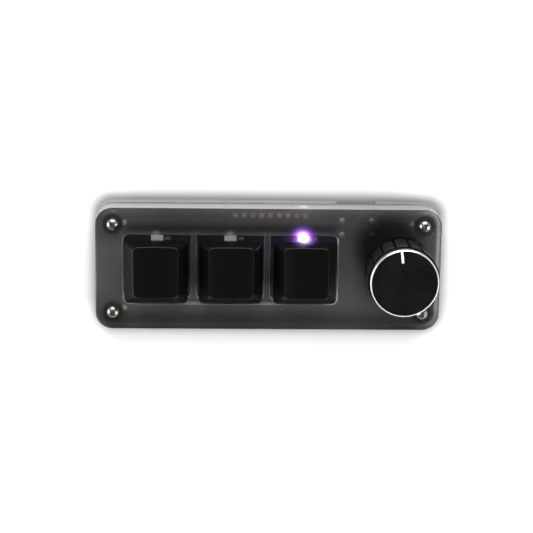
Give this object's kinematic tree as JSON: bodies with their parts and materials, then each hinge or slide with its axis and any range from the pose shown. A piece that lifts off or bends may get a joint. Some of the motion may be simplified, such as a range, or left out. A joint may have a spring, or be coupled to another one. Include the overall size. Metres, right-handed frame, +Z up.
{
  "type": "macro keypad",
  "caption": "Low desk keypad of stacked acrylic layers round a circuit board, with sculptured sprung keys in one window, a ribbed push knob at one end and a USB-C inlet at the back.",
  "frame": {"origin": "middle of the footprint, on the surface that the feet stand on", "axes": "+X along the case towards the knob, +Y towards the cable inlet at the back, +Z up"},
  "size_m": [0.1, 0.036, 0.0273],
  "materials": {
    "frosted_acrylic": "smoke-grey frosted cast acrylic",
    "clear_acrylic": "clear cast acrylic with laser-cut edges",
    "circuit_board": "black solder mask, pale laminate edge",
    "foot_rubber": "matt rubber",
    "screw_steel": "nickel-plated steel",
    "standoff_nylon": "black nylon",
    "tinned_copper": "solder-tinned copper",
    "led_body": "white resin with a clear lens",
    "chip_ceramic": "ceramic chips with tinned ends",
    "chip_resin": "black moulded resin",
    "crystal_can": "metal can",
    "receptacle_steel": "nickel-plated sheet steel",
    "receptacle_insulator": "black moulded insulator",
    "encoder_plastic": "dark moulded plastic",
    "encoder_metal": "plated sheet steel",
    "shaft_aluminium": "turned metal",
    "knob_plastic": "black moulded plastic, ribbed",
    "knob_aluminium": "black anodised, spun face, bright cut bevel",
    "pointer_paint": "white filled line",
    "switch_housing": "black moulded nylon",
    "switch_cover": "black moulded nylon",
    "contact_metal": "gold-plated copper alloy",
    "socket_plastic": "black moulded nylon",
    "spring_steel": "spring wire",
    "stem_plastic": "brown moulded acetal",
    "keycap_plastic": "black, fine matt texture, slightly worn sheen"
  },
  "bodies": {
    "case": {"top_plate": "frosted_acrylic", "key_frame": "clear_acrylic", "main_board": "circuit_board", "lower_frame": "clear_acrylic", "bottom_plate": "clear_acrylic", "feet": "foot_rubber", "top_screws": "screw_steel", "bottom_screws": "screw_steel", "upper_standoffs": "standoff_nylon", "lower_standoffs": "standoff_nylon", "board_pads": "tinned_copper", "key_leds": "led_body", "board_passives": "chip_ceramic", "microcontroller": "chip_resin", "memory_chip": "chip_resin", "crystal": "crystal_can", "usb_shell": "receptacle_steel", "usb_tongue": "receptacle_insulator", "encoder_base": "encoder_plastic", "encoder_frame": "encoder_metal", "encoder_pins": "encoder_metal", "push_contact": "encoder_metal", "left_switch_base": "switch_housing", "left_switch_cover": "switch_cover", "left_switch_contacts": "contact_metal", "left_switch_socket": "socket_plastic", "left_spring": "spring_steel", "middle_switch_base": "switch_housing", "middle_switch_cover": "switch_cover", "middle_switch_contacts": "contact_metal", "middle_switch_socket": "socket_plastic", "middle_spring": "spring_steel", "right_switch_base": "switch_housing", "right_switch_cover": "switch_cover", "right_switch_contacts": "contact_metal", "right_switch_socket": "socket_plastic", "right_spring": "spring_steel"},
    "left_key": {"left_stem": "stem_plastic", "left_keycap": "keycap_plastic"},
    "middle_key": {"middle_stem": "stem_plastic", "middle_keycap": "keycap_plastic"},
    "right_key": {"right_stem": "stem_plastic", "right_keycap": "keycap_plastic"},
    "rotor": {"encoder_rotor": "encoder_plastic"},
    "knob": {"encoder_shaft": "shaft_aluminium", "knob_body": "knob_plastic", "knob_cap": "knob_aluminium", "pointer_line": "pointer_paint"}
  },
  "joints": [
    {"name": "left_press", "type": "slide", "parent": "case", "child": "left_key", "axis": [0, 0, -1], "range_m": [0, 0.004], "stiffness_N_per_m": 75, "springref_m": -0.0039, "deforming": ["left_spring"]},
    {"name": "middle_press", "type": "slide", "parent": "case", "child": "middle_key", "axis": [0, 0, -1], "range_m": [0, 0.004], "stiffness_N_per_m": 75, "springref_m": -0.0039, "deforming": ["middle_spring"]},
    {"name": "right_press", "type": "slide", "parent": "case", "child": "right_key", "axis": [0, 0, -1], "range_m": [0, 0.004], "stiffness_N_per_m": 75, "springref_m": -0.0039, "deforming": ["right_spring"]},
    {"name": "knob_turn", "type": "hinge", "parent": "case", "child": "rotor", "pos_m": [0.0383, -0.0006, 0.02], "axis": [0, 0, 1], "continuous": true},
    {"name": "knob_push", "type": "slide", "parent": "rotor", "child": "knob", "axis": [0, 0, -1], "range_m": [0, 0.0005], "stiffness_N_per_m": 3000, "springref_m": -0.0006}
  ]
}
